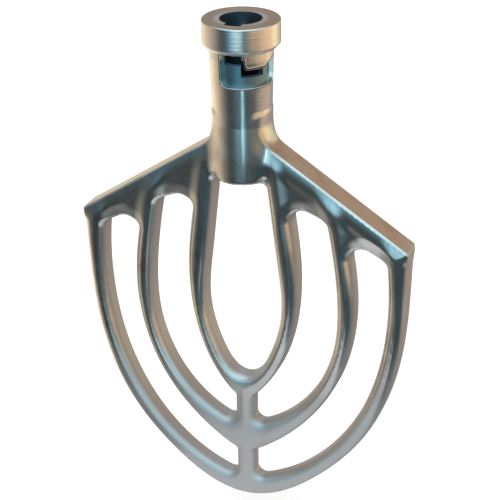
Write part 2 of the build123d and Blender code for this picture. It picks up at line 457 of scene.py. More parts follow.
@dataclass
class PaddleCasting:
    """Arms, loops, spine, shank and slotted neck, cast in one."""

    neck_radius: float = 19.1
    neck_foot: float = -22.0
    shank_radius: float = 17.9
    taper_end: float = -62.0
    weld_height: float = -52.0
    hub_foot: float = -99.0
    foot_ease: float = 1.9
    socket_radius: float = 16.03
    socket_foot: float = -75.03
    pilot_radius: float = 11.5
    pilot_foot: float = -80.0
    head_depth: float = 21.4
    tip_depth: float = 14.1
    flare_top: float = -56.0
    tip: float = -328.9
    shoulder: tuple[float, float] = (106.9, -132.7)
    shoulder_radius: float = 2.2
    arm_slope: float = 0.65
    arm_root: float = 14.0
    arm_flare: float = 22.0
    spine_half: float = 6.4
    gap_corner: float = 8.0
    spine_corner: float = 5.0
    side_nose: float = 4.9
    down_nose: float = 1.5
    up_nose: float = 4.3
    top_nose: float = 1.1
    web_sink: float = 2.0
    crown: float = 1.1
    melt: float = 6.0
    cell: float = 1.15
    cells_aside: int = 98
    cells_deep: int = 17
    cells_down: int = 244
    rows_over: int = 3
    settle_passes: int = 3
    longest_push: float = 0.4
    rim_points: int = 145
    outer_spacing: float = 1.2
    inner_spacing: float = 1.6
    window_rim: float = 0.45
    loops: list[Array] = field(default_factory=list)

    def arm_top(self, x: Array | float) -> Array | float:
        """Height of an arm's top edge at a distance from the axis."""
        return self.shoulder[1] + self.arm_slope * (self.shoulder[0] - x)

    def gap(self, inner: Array, outer: Array) -> Array:
        """Outline of a gap between two splines, with wide corners at the arm and small ones at the spine."""
        first, second = spline(inner, FINE_STEP), spline(outer, FINE_STEP)
        top = np.array([second[-1], first[0]])
        spine = np.array([first[-1], second[0]])
        radii = [self.spine_corner, self.spine_corner, self.gap_corner, self.gap_corner]
        return rounded_loop([first, spine, second, top], radii, EDGE_STEP)

    def outline(self) -> list[Array]:
        """Outlines of the flat frame seen from the front: the outer edge and the five gaps."""
        beside = self.spine_half
        outer_inner = [(66.8, -127.8), (73.3, -183.0), (64.4, -228.0), (35.9, -270.9), (beside, -293.5)]
        outer_rim = [(beside, -316.5), (37.6, -301.3), (71.9, -262.0), (90.3, -211.4), (92.6, -141.0)]
        outer_gap = self.gap(np.array(outer_inner), np.array(outer_rim))
        middle_inner = [(30.5, -110.2), (36.3, -175.0), (27.5, -220.0), (beside, -252.0)]
        middle_rim = [(beside, -274.5), (36.5, -254.4), (59.3, -210.0), (61.1, -164.6), (54.4, -119.5)]
        middle_gap = self.gap(np.array(middle_inner), np.array(middle_rim))
        side = spline(
            np.array([(16.0, -95.5), (22.7, -153.9), (25.3, -181.0), (17.0, -220.0), (0.0, -238.3)]),
            EDGE_STEP,
            np.array([(0.12, -1.0), (-1.0, 0.0)]),
        )
        centre_gap = np.vstack([side, side[-2::-1] * [-1, 1]])
        root = np.array([self.arm_root, self.arm_top(self.arm_root)])
        neck_side = spaced(np.array([(self.arm_root, self.flare_top), root]), 1.0)
        arm = spaced(np.array([root, self.shoulder]), 1.0)
        knots = [(106.2, -168.0), (101.1, -216.0), (85.1, -261.5), (51.0, -303.7), (0.0, self.tip)]
        rim = spline(np.array([self.shoulder, *knots]), FINE_STEP, np.array([(0.0, -1.0), (-1.0, 0.0)]))
        neck_side, flare, arm = rounded_corner(neck_side, arm, self.arm_flare)
        arm, nose, rim = rounded_corner(arm, rim, self.shoulder_radius)
        half = np.vstack([neck_side[:-1], flare, spaced(arm, EDGE_STEP), nose, spaced(rim, EDGE_STEP)])
        outer = np.vstack([half, half[-2::-1] * [-1, 1]])
        return [outer, outer_gap, outer_gap * [-1, 1], middle_gap, middle_gap * [-1, 1], centre_gap]

    def half_depth(self, x: Array, z: Array) -> Array:
        """Half of the casting's depth at a place seen from the front.

        The faces draw together in a straight line from the arms to the tip. Between the bars the arms are
        thinner: the depth falls with the distance from the bars' ridges and from the top edge, first quickly
        and then with that distance's square, and comes back lower down.
        """
        share = (z - self.flare_top) / (self.tip - self.flare_top)
        full = 0.5 * (self.head_depth + (self.tip_depth - self.head_depth) * np.clip(share, 0, 1))
        side = np.abs(x)
        place = np.stack([side, z], axis=-1).reshape(-1, 2)
        bare = smoothstep(17.0, 25.0, side)
        inner = [(14.0, -66.0), (20.5, -84.0), (24.8, -112.0), (30.0, -165.0), (31.0, -188.0), (25.0, -215.0)]
        middle = [(54.5, -94.0), (61.0, -126.0), (66.0, -168.0), (66.3, -190.0), (57.0, -230.0)]
        outer = [(99.5, -129.0), (99.8, -175.0), (95.8, -213.0), (83.0, -251.0)]
        for ridge, crest, foot in ((inner, 1.0, 9.5), (middle, 0.8, 10.0), (outer, 2.5, 12.0)):
            line = np.array(ridge)
            path = np.vstack([line, line[-2:0:-1]])
            reach = nearest(place, [path])[0].reshape(side.shape)
            bare *= smoothstep(crest, foot, reach)
        below = (self.arm_top(side) - z) / np.hypot(1.0, self.arm_slope)
        scoop = 0.6 * smoothstep(0.0, 14.0, below) + 0.4 * np.clip(below / 28.0, 0.0, 1.0) ** 2
        thinned = bare * scoop * (1.0 - smoothstep(26.0, 70.0, below))
        return full - self.web_sink * thinned

    def shank_profile(self, z: Array) -> Array:
        """Radius of the hub's outside at a height: neck, slow taper and shank."""
        return np.interp(z, [self.taper_end, self.neck_foot], [self.shank_radius, self.neck_radius])

    @staticmethod
    def eased(first: Array, second: Array) -> Array:
        """Distance outside the corner of two faces, round where a point lies outside both."""
        outside = np.hypot(np.maximum(first, 0), np.maximum(second, 0))
        return outside + np.minimum(np.maximum(first, second), 0)

    def solid(self, x: Array, y: Array, z: Array, plan: Array, half: Array, nose: Array) -> Array:
        """How far a point is outside the casting, negative inside.

        The frame is its outline carried through its depth, with edges rounded by the nose radius. The shank
        is a slow taper with a rounded foot. The two melt together: where they are nearly as close, the
        smaller distance is taken and lessened by the square of how near they are.

        Args:
            x: Place to the right.
            y: Place to the back.
            z: Height.
            plan: Distance outside the outline, seen from the front.
            half: Half depth there.
            nose: Radius of the frame's edges there.

        Returns:
            The distance.
        """
        over = plan + nose
        proud = np.abs(y) - half + nose
        flat = self.eased(over, proud) - nose
        out = np.hypot(x, y) - self.shank_profile(z) + self.foot_ease
        under = self.hub_foot - z + self.foot_ease
        hub = self.eased(out, under) - self.foot_ease
        near = np.maximum(self.melt - np.abs(flat - hub), 0) / self.melt
        return np.minimum(flat, hub) - near**2 * self.melt / 4

    def nose_radius(self, facing_up: Array, x: Array, z: Array) -> Array:
        """Radius of the frame's edges.

        Side edges are full noses, edges that face down are nearly sharp, edges that face up lie between, and
        the arms' top edge is crisp. One passes into the next smoothly with the direction that the edge faces.
        """
        down = smoothstep(0.15, 0.95, -facing_up)
        up = smoothstep(0.1, 0.8, facing_up)
        side = self.side_nose
        nose = side + (self.down_nose - side) * down + (self.up_nose - side) * up
        near_top = 1.0 - smoothstep(4.0, 11.0, self.arm_top(np.abs(x)) - z)
        return nose + (self.top_nose - nose) * near_top

    def plan_fields(self) -> tuple[Array, Array, Array]:
        """The outline's distance, half depth and nose radius on a grid seen from the front, stacked last.

        Every bar is a little crowned: its depth falls smoothly from its middle to its edges.
        """
        xs = np.arange(-self.cells_aside, self.cells_aside + 1) * self.cell
        zs = self.weld_height + np.arange(-self.cells_down, self.rows_over + 1) * self.cell
        grid = np.stack(np.meshgrid(xs, zs, indexing="ij"), axis=-1)
        flat = grid.reshape(-1, 2)
        distance, away = nearest(flat, self.loops)
        sign = np.where(within(flat, self.loops), -1.0, 1.0)
        facing_up = sign * away[:, 1] / np.maximum(distance, 1e-9)
        nose = self.nose_radius(facing_up, flat[:, 0], flat[:, 1]).reshape(grid.shape[:2])
        for axis in (0, 1, 0, 1):
            nose = (np.roll(nose, 1, axis) + 2 * nose + np.roll(nose, -1, axis)) / 4
        plan = (sign * distance).reshape(grid.shape[:2])
        half = self.half_depth(grid[..., 0], grid[..., 1])
        half = half - self.crown * (1.0 - smoothstep(-2.0, 9.5, -plan))
        return xs, zs, np.stack([plan, half, nose], axis=-1)

    def sample(self, fields: Array, xs: Array, zs: Array, x: Array, z: Array) -> Array:
        """Fields between their grid's nodes: a cubic through the four nearest nodes, along x and along z."""
        weights, bases = [], []
        for axis, at in ((xs, x), (zs, z)):
            place = (at - axis[0]) / self.cell
            base = np.clip(np.floor(place).astype(int), 1, len(axis) - 3)
            t = place - base
            weights.append(
                np.stack(
                    [
                        -0.5 * t + t**2 - 0.5 * t**3,
                        1 - 2.5 * t**2 + 1.5 * t**3,
                        0.5 * t + 2 * t**2 - 1.5 * t**3,
                        -0.5 * t**2 + 0.5 * t**3,
                    ]
                )
            )
            bases.append(base)
        total = np.zeros((len(x), fields.shape[2]))
        for i, j in np.ndindex(4, 4):
            value = fields[bases[0] + i - 1, bases[1] + j - 1]
            total += (weights[0][i] * weights[1][j])[:, None] * value
        return total

    def body(self) -> tuple[Patch, Array]:
        """Frame and shank below the weld, and the ring of points where they meet the neck."""
        xs, zs, fields = self.plan_fields()
        ys = np.arange(-self.cells_deep, self.cells_deep + 1) * self.cell
        heights = zs[: -self.rows_over]
        plan, half, nose = (fields[:, None, : -self.rows_over, k] for k in range(3))
        values = self.solid(xs[:, None, None], ys[None, :, None], heights[None, None, :], plan, half, nose)
        origin = np.array([xs[0], ys[0], heights[0]])
        points, faces = surface_net(values, origin, self.cell)

        def measure(p: Array) -> Array:
            """How far points are outside the casting."""
            f = self.sample(fields, xs, zs, p[:, 0], p[:, 2])
            return self.solid(p[:, 0], p[:, 1], p[:, 2], f[:, 0], f[:, 1], f[:, 2])

        nudge = 0.04
        for _ in range(self.settle_passes):
            rises = [measure(points + step) - measure(points - step) for step in np.eye(3) * nudge]
            slope = np.stack(rises, axis=-1) / (2 * nudge)
            push = measure(points) / np.maximum((slope**2).sum(axis=1), 0.2)
            points = points - np.clip(push, -self.longest_push, self.longest_push)[:, None] * slope
        normals = unit(slope)
        pairs = np.sort(np.stack([faces, np.roll(faces, -1, axis=1)], axis=-1).reshape(-1, 2), axis=1)
        edges, uses = np.unique(pairs, axis=0, return_counts=True)
        ring = np.unique(edges[uses == 1])
        ring = ring[np.argsort(np.arctan2(points[ring, 0], -points[ring, 1]))]
        polish = self.worn(points, normals)
        return Patch(points, normals, [faces], polish), points[ring]

    def worn(self, points: Array, normals: Array) -> Array:
        """How burnished the casting is: 1 on the shank and the fronts, less on side walls and low lands."""
        front = smoothstep(0.25, 0.8, np.abs(normals[:, 1]))
        round_hub = 1.0 - smoothstep(20.0, 26.0, np.hypot(points[:, 0], points[:, 1]))
        round_hub *= smoothstep(-101.0, -97.5, points[:, 2])
        low = 1.0 - smoothstep(-275.0, -205.0, points[:, 2])
        up = smoothstep(0.25, 0.6, normals[:, 2]) * smoothstep(-140.0, -125.0, points[:, 2])
        on_frame = np.maximum(front * (1.0 - 0.75 * low), up)
        return np.maximum(round_hub, on_frame)

    def window(self) -> Array:
        """Outline of the window in the neck, with the wall unrolled: distance round the axis, and height."""
        mean = self.neck_radius
        corners = [
            (-21.5, -13.0, 1.0),
            (-21.5, -37.0, 4.0),
            (104.0, -37.0, 4.0),
            (104.0, -21.5, 1.0),
            (93.0, -21.5, 4.0),
            (66.0, -25.8, 4.0),
            (28.0, -25.8, 1.2),
            (21.5, -17.0, 3.0),
            (21.5, -13.0, 0.9),
        ]
        places = np.array([(np.radians(a) * mean, z) for a, z, _ in corners])
        return rounded_polygon(places, [radius for _, _, radius in corners], 0.5)

    def rolled(self, flat: Array, radius: Array | float) -> Array:
        """Flat strip points laid round the axis at a radius."""
        angle = flat[:, 0] / self.neck_radius
        return np.column_stack([radius * np.sin(angle), -radius * np.cos(angle), flat[:, 1]])

    def neck(self, ring: Array) -> list[Patch]:
        """Slotted neck above the weld: outside, inside, the window's rim, the top and the socket's floor.

        Args:
            ring: Points of the body's open top, in order round the axis.

        Returns:
            The surfaces that close the casting.
        """
        around = 2 * np.pi * self.neck_radius
        half_turn = np.pi * self.neck_radius
        window = self.window()
        out = np.roll(window, -1, axis=0) - np.roll(window, 1, axis=0)
        out = unit(np.column_stack([out[:, 1], -out[:, 0]]))
        if within((window[:1] + 0.1 * out[:1]), [window])[0]:
            out = -out
        wide = window + self.window_rim * out
        count = self.rim_points
        top = np.column_stack([np.linspace(-half_turn, half_turn, count), np.zeros(count)])
        angle = np.arctan2(ring[:, 0], -ring[:, 1])
        lower = np.column_stack([angle * self.neck_radius, ring[:, 2]])
        lower = np.vstack([lower, lower[:1] + [around, 0]])
        top[:, 0] += lower[0, 0] + half_turn
        flat, rims, triangles = bent_plate([top, lower], [wide], self.outer_spacing, around)
        outside = self.rolled(flat, self.shank_profile(flat[:, 1]))
        outside[rims[1]] = np.vstack([ring, ring[:1]])
        gain = self.shank_profile(flat[:, 1] + 0.5) - self.shank_profile(flat[:, 1] - 0.5)
        normals = unit(unit(outside * [1, 1, 0]) - gain[:, None] * [0, 0, 1])
        patches = [Patch(outside, normals, [triangles])]
        sill = np.column_stack([top[:, 0], np.full(count, self.weld_height)])
        flat, _, triangles = bent_plate([top, sill], [window], self.inner_spacing, around)
        inside = self.rolled(flat, self.socket_radius)
        patches.append(Patch(inside, -unit(inside * [1, 1, 0]), [triangles[:, ::-1]]))
        rim = self.window_rim
        rows = [self.rolled(wide, self.shank_profile(wide[:, 1]))]
        for share in (0.25, 0.5, 0.75, 1.0):
            turn = share * np.pi / 2
            edge = window + rim * (1 - np.sin(turn)) * out
            rows.append(self.rolled(edge, self.shank_profile(edge[:, 1]) - rim * (1 - np.cos(turn))))
        for share in (0.5, 1.0):
            depth = self.shank_profile(window[:, 1]) - rim
            rows.append(self.rolled(window, depth + (self.socket_radius - depth) * share))
        wall = np.stack(rows)
        patches.append(grid_patch(wall, flip=self.turns_left(window)))
        upper = self.rolled(top, self.neck_radius)[:-1]
        lower_edge = self.rolled(top, self.socket_radius)[:-1]
        patches.append(grid_patch(np.stack([lower_edge, upper]), flip=True))
        steps = [
            (self.socket_radius, self.weld_height),
            (self.socket_radius, self.socket_foot),
            (self.pilot_radius, self.socket_foot),
            (self.pilot_radius, self.pilot_foot),
            (0.0, self.pilot_foot),
        ]
        angles = top[:-1, 0] / self.neck_radius
        return patches + [turned(np.array(pair), angles) for pair in zip(steps, steps[1:])]

    @staticmethod
    def turns_left(loop: Array) -> bool:
        """True if a closed outline runs anticlockwise."""
        after = np.roll(loop, -1, axis=0)
        return float((loop[:, 0] * after[:, 1] - after[:, 0] * loop[:, 1]).sum()) > 0

    def build(self, material: bpy.types.Material) -> bpy.types.Object:
        """Makes the casting and dresses it."""
        self.loops = self.outline()
        body, ring = self.body()
        piece = write_mesh("casting_surface", [body] + self.neck(ring), material, "paddle_casting")
        return piece


@dataclass
class CollarBand:
    """Polished band shrunk round the neck, with a chamfered foot and an eased top edge."""

    radius: float = 23.4
    height: float = 16.5
    chamfer: float = 2.6
    top_ease: float = 0.8
    bore: float = 19.12
    columns: int = 180

    def build(self, material: bpy.types.Material) -> bpy.types.Object:
        """Turns the band's closed profile, with every corner rounded, round the axis."""
        corners = np.array(
            [
                (self.bore, 0.0),
                (self.bore, -self.height),
                (self.radius - self.chamfer, -self.height),
                (self.radius, -self.height + self.chamfer),
                (self.radius, 0.0),
            ]
        )
        profile = rounded_polygon(corners, [0.15, 0.15, 0.7, 1.3, self.top_ease], 0.9)
        profile = np.vstack([profile, profile[:1]])
        angles = np.linspace(0, 2 * np.pi, self.columns, endpoint=False)
        piece = write_mesh("collar_ring", [turned(profile, angles)], material, "collar_band")
        return piece


# ------------------------------------------------------------------ finishes


CASTING = MetalFinish(
    label="burnished casting",
    clean=(0.80, 0.79, 0.77, 1.0),
    stained=(0.60, 0.57, 0.54, 1.0),
    unbuffed_and_painted_reflection=(0.53, 0.52, 0.53, 1.0),
    faced_and_painted_reflection=(0.66, 0.63, 0.60, 1.0),
    polished_roughness=0.2,
    matte_roughness=0.56,
    grain_size=900.0,
    grain_height=0.12,
    stroke_stretch=(500.0, 500.0, 60.0),
    stroke_height=0.05,
    anisotropy=0.25,
)
COLLAR = MetalFinish(
    label="turned collar",
    clean=(0.84, 0.82, 0.79, 1.0),
    stained=(0.70, 0.66, 0.62, 1.0),
    unbuffed_and_painted_reflection=(0.66, 0.63, 0.61, 1.0),
    faced_and_painted_reflection=(0.66, 0.63, 0.60, 1.0),
    polished_roughness=0.16,
    matte_roughness=0.5,
    grain_size=1200.0,
    grain_height=0.03,
    stroke_stretch=(90.0, 90.0, 1500.0),
    stroke_height=0.04,
    anisotropy=0.4,
)
# Painted reflection: the sleeve's teal unbuffed colour stands in for the dark bluish room that the ground
# steel mirrors in the window. It is not the steel's own colour.
SLEEVE_WITH_PAINTED_TEAL = MetalFinish(
    label="ground sleeve with painted teal reflection",
    clean=(0.50, 0.56, 0.60, 1.0),
    stained=(0.30, 0.35, 0.38, 1.0),
    unbuffed_and_painted_reflection=(0.20, 0.33, 0.39, 1.0),
    faced_and_painted_reflection=(0.66, 0.63, 0.60, 1.0),
    polished_roughness=0.30,
    matte_roughness=0.36,
    grain_size=1200.0,
    grain_height=0.05,
    stroke_stretch=(80.0, 80.0, 1500.0),
    stroke_height=0.06,
    anisotropy=0.4,
)
DOWELS = MetalFinish(
    label="dowel steel",
    clean=(0.56, 0.55, 0.54, 1.0),
    stained=(0.34, 0.32, 0.30, 1.0),
    unbuffed_and_painted_reflection=(0.4, 0.4, 0.4, 1.0),
    faced_and_painted_reflection=(0.4, 0.4, 0.4, 1.0),
    polished_roughness=0.32,
    matte_roughness=0.5,
    grain_size=1500.0,
    grain_height=0.05,
    stroke_stretch=(300.0, 1500.0, 300.0),
    stroke_height=0.05,
    anisotropy=0.0,
)


def metal(finish: MetalFinish) -> bpy.types.Material:
    """Metal with handling stains, cast grain, polishing strokes, unburnished places in their own colour (on
    the sleeve a teal painted reflection), and a top face in one darker warm grey. That grey is the tone of a
    cut face and is also painted reflection of the warm room behind.

    Args:
        finish: The numbers and colours that tell one metal from another.

    Returns:
        The material. It reads Object coordinates and the polish attribute.
    """
    material = bpy.data.materials.new(finish.label)
    material.use_nodes = True
    tree = material.node_tree
    tree.nodes.clear()

    output = tree.nodes.new("ShaderNodeOutputMaterial")
    output.label = "metal surface"
    shader = tree.nodes.new("ShaderNodeBsdfPrincipled")
    shader.label = finish.label
    place = tree.nodes.new("ShaderNodeTexCoord")
    place.label = "place on the part"

    wear = tree.nodes.new("NodeFrame")
    wear.label = "burnished or as cast"
    polish = tree.nodes.new("ShaderNodeAttribute")
    polish.label = "burnished by the mould shop"
    blotch = tree.nodes.new("ShaderNodeTexNoise")
    blotch.label = "uneven buffing"
    uneven = tree.nodes.new("ShaderNodeMath")
    uneven.label = "buffing reaches unevenly"
    roughness = tree.nodes.new("ShaderNodeMapRange")
    roughness.label = "roughness from buffing"

    colour = tree.nodes.new("NodeFrame")
    colour.label = "stains and bare metal"
    stain = tree.nodes.new("ShaderNodeTexNoise")
    stain.label = "handling stains"
    spread = tree.nodes.new("ShaderNodeValToRGB")
    spread.label = "stain to clean metal"
    # On a piece without a polish attribute, such as the sleeve, this unbuffed colour covers the whole piece.
    # The sleeve's teal is painted reflection.
    cast = tree.nodes.new("ShaderNodeMix")
    cast.label = "as-cast colour where not buffed"

    axes = tree.nodes.new("ShaderNodeSeparateXYZ")
    axes.label = "height on the part"
    # Painted reflection: the top face of every piece, its top tenth of a millimetre, takes one darker warm
    # grey. This grey stands in for the warm room behind and lies over the cut face's own tone.
    top = tree.nodes.new("ShaderNodeMapRange")
    top.label = "top face, faced in one cut"
    cut = tree.nodes.new("ShaderNodeMix")
    cut.label = "faced metal on top"

    relief = tree.nodes.new("NodeFrame")
    relief.label = "cast grain and polishing strokes"
    grain = tree.nodes.new("ShaderNodeTexNoise")
    grain.label = "cast grain"
    unbuffed = tree.nodes.new("ShaderNodeMapRange")
    unbuffed.label = "grain shows where not buffed"
    stretch = tree.nodes.new("ShaderNodeMapping")
    stretch.label = "strokes run one way"
    strokes = tree.nodes.new("ShaderNodeTexNoise")
    strokes.label = "polishing strokes"
    grain_bump = tree.nodes.new("ShaderNodeBump")
    grain_bump.label = "grain relief"
    stroke_bump = tree.nodes.new("ShaderNodeBump")
    stroke_bump.label = "stroke relief"
    layout = (
        (None, ((output, 1300, 0), (shader, 1000, 0), (place, -1300, 0))),
        (wear, ((polish, -900, 500), (blotch, -900, 250), (uneven, -650, 400), (roughness, -400, 400))),
        (
            colour,
            (
                (stain, -900, -50), (spread, -650, -50), (cast, -250, 0), (axes, -650, -250),
                (top, -450, -250), (cut, 0, 0),
            ),
        ),
        (
            relief,
            (
                (grain, -900, -400), (unbuffed, -650, -550), (stretch, -1100, -750), (strokes, -900, -750),
                (grain_bump, -250, -450), (stroke_bump, 0, -550),
            ),
        ),
    )
    for group, members in layout:
        for node, right, up in members:
            node.location = (right, up)
            node.parent = group

    polish.attribute_name = "polish"
    blotch.inputs["Scale"].default_value = 60.0
    blotch.inputs["Detail"].default_value = 4.0
    uneven.operation = "MULTIPLY_ADD"
    uneven.inputs[1].default_value = 0.35
    roughness.inputs["From Min"].default_value = 0.15
    roughness.inputs["From Max"].default_value = 1.15
    roughness.inputs["To Min"].default_value = finish.matte_roughness
    roughness.inputs["To Max"].default_value = finish.polished_roughness
    stain.inputs["Scale"].default_value = 28.0
    stain.inputs["Detail"].default_value = 6.0
    stain.inputs["Roughness"].default_value = 0.6
    spread.color_ramp.elements[0].position = 0.32
    spread.color_ramp.elements[0].color = finish.stained
    spread.color_ramp.elements[1].position = 0.52
    spread.color_ramp.elements[1].color = finish.clean
    cast.data_type = "RGBA"
    cast.inputs["A"].default_value = finish.unbuffed_and_painted_reflection
    top.inputs["From Min"].default_value = -0.0003
    top.inputs["From Max"].default_value = -0.0001
    cut.data_type = "RGBA"
    cut.inputs["B"].default_value = finish.faced_and_painted_reflection
    grain.inputs["Scale"].default_value = finish.grain_size
    grain.inputs["Detail"].default_value = 3.0
    unbuffed.inputs["To Min"].default_value = finish.grain_height
    unbuffed.inputs["To Max"].default_value = finish.grain_height * 0.15
    stretch.inputs["Scale"].default_value = finish.stroke_stretch
    strokes.inputs["Scale"].default_value = 1.0
    strokes.inputs["Detail"].default_value = 3.0
    grain_bump.inputs["Distance"].default_value = 0.001
    stroke_bump.inputs["Distance"].default_value = 0.001
    stroke_bump.inputs["Strength"].default_value = finish.stroke_height
    shader.inputs["Metallic"].default_value = 1.0
    shader.inputs["Anisotropic"].default_value = finish.anisotropy

    links = tree.links
    links.new(place.outputs["Object"], blotch.inputs["Vector"])
    links.new(place.outputs["Object"], stain.inputs["Vector"])
    links.new(place.outputs["Object"], grain.inputs["Vector"])
    links.new(place.outputs["Object"], stretch.inputs["Vector"])
    links.new(stretch.outputs["Vector"], strokes.inputs["Vector"])
    links.new(blotch.outputs["Fac"], uneven.inputs[0])
    links.new(polish.outputs["Fac"], uneven.inputs[2])
    links.new(uneven.outputs["Value"], roughness.inputs["Value"])
    links.new(roughness.outputs["Result"], shader.inputs["Roughness"])
    links.new(stain.outputs["Fac"], spread.inputs["Fac"])
    links.new(polish.outputs["Fac"], cast.inputs["Factor"])
    links.new(spread.outputs["Color"], cast.inputs["B"])
    links.new(place.outputs["Object"], axes.inputs["Vector"])
    links.new(axes.outputs["Z"], top.inputs["Value"])
    links.new(top.outputs["Result"], cut.inputs["Factor"])
    links.new(cast.outputs["Result"], cut.inputs["A"])
    links.new(cut.outputs["Result"], shader.inputs["Base Color"])
    links.new(polish.outputs["Fac"], unbuffed.inputs["Value"])
    links.new(unbuffed.outputs["Result"], grain_bump.inputs["Strength"])
    links.new(grain.outputs["Fac"], grain_bump.inputs["Height"])
    links.new(strokes.outputs["Fac"], stroke_bump.inputs["Height"])
    links.new(grain_bump.outputs["Normal"], stroke_bump.inputs["Normal"])
    links.new(stroke_bump.outputs["Normal"], shader.inputs["Normal"])
    links.new(shader.outputs["BSDF"], output.inputs["Surface"])
    return material


# ------------------------------------------------------------------ studio


# A wall's bearing from the camera's own, in degrees, and its colour there.
Walls = tuple[tuple[float, tuple[float, float, float]], ...]
LOW_WALLS: Walls = (
    (-180.0, (0.20, 0.15, 0.12)),
    (-160.0, (1.20, 1.04, 0.80)),
    (-134.0, (1.25, 1.02, 0.72)),
    (-106.0, (0.78, 0.63, 0.47)),
    (-84.0, (0.38, 0.34, 0.28)),
    (-64.0, (0.13, 0.14, 0.12)),
    (-50.0, (0.06, 0.07, 0.07)),
    (-36.0, (0.03, 0.04, 0.04)),
    (-10.0, (0.03, 0.04, 0.05)),
    (14.0, (0.03, 0.07, 0.09)),
    (34.0, (0.04, 0.08, 0.10)),
    (50.0, (0.08, 0.11, 0.12)),
    (66.0, (0.32, 0.31, 0.27)),
    (84.0, (0.50, 0.40, 0.33)),
    (106.0, (0.54, 0.43, 0.38)),
    (138.0, (0.40, 0.34, 0.31)),
    (160.0, (0.30, 0.27, 0.25)),
)
HIGH_WALLS: Walls = (
    (-180.0, (0.34, 0.29, 0.24)),
    (-154.0, (1.10, 0.98, 0.74)),
    (-122.0, (0.78, 0.60, 0.41)),
    (-102.0, (0.52, 0.42, 0.34)),
    (-82.0, (0.32, 0.30, 0.26)),
    (-66.0, (0.10, 0.12, 0.10)),
    (-50.0, (0.06, 0.09, 0.11)),
    (-38.0, (0.12, 0.28, 0.40)),
    (-26.0, (0.42, 0.78, 0.95)),
    (-14.0, (0.72, 1.15, 1.25)),
    (-3.0, (0.60, 0.95, 1.02)),
    (6.0, (0.12, 0.24, 0.32)),
    (16.0, (0.32, 0.31, 0.28)),
    (30.0, (0.62, 0.47, 0.31)),
    (60.0, (0.86, 0.60, 0.36)),
    (92.0, (1.06, 0.72, 0.42)),
    (112.0, (1.28, 1.06, 0.62)),
    (136.0, (0.76, 0.66, 0.44)),
    (160.0, (0.36, 0.30, 0.24)),
)
UPPER_WALLS: Walls = (
    (-180.0, (0.34, 0.29, 0.24)),
    (-120.0, (0.50, 0.41, 0.32)),
    (-80.0, (0.26, 0.28, 0.27)),
    (-55.0, (0.30, 0.55, 0.65)),
    (-20.0, (0.60, 1.00, 1.12)),
    (25.0, (0.62, 0.90, 1.00)),
    (60.0, (0.60, 0.52, 0.42)),
    (105.0, (0.54, 0.41, 0.29)),
    (140.0, (0.42, 0.28, 0.18)),
    (162.0, (0.35, 0.28, 0.21)),
)


def level_sheet(name: str, sides: tuple[float, float, float, float], height: float) -> bpy.types.Mesh:
    """One level rectangle.

    Args:
        name: Name of the mesh.
        sides: Its left, right, front and back edge.
        height: How high it lies.

    Returns:
        The mesh, in metres.
    """
    left, right, front, back = (side * METRES for side in sides)
    level = height * METRES
    corners = [(left, front, level), (right, front, level), (right, back, level), (left, back, level)]
    mesh = bpy.data.meshes.new(name)
    mesh.from_pydata(corners, [], [(0, 1, 2, 3)])
    return mesh


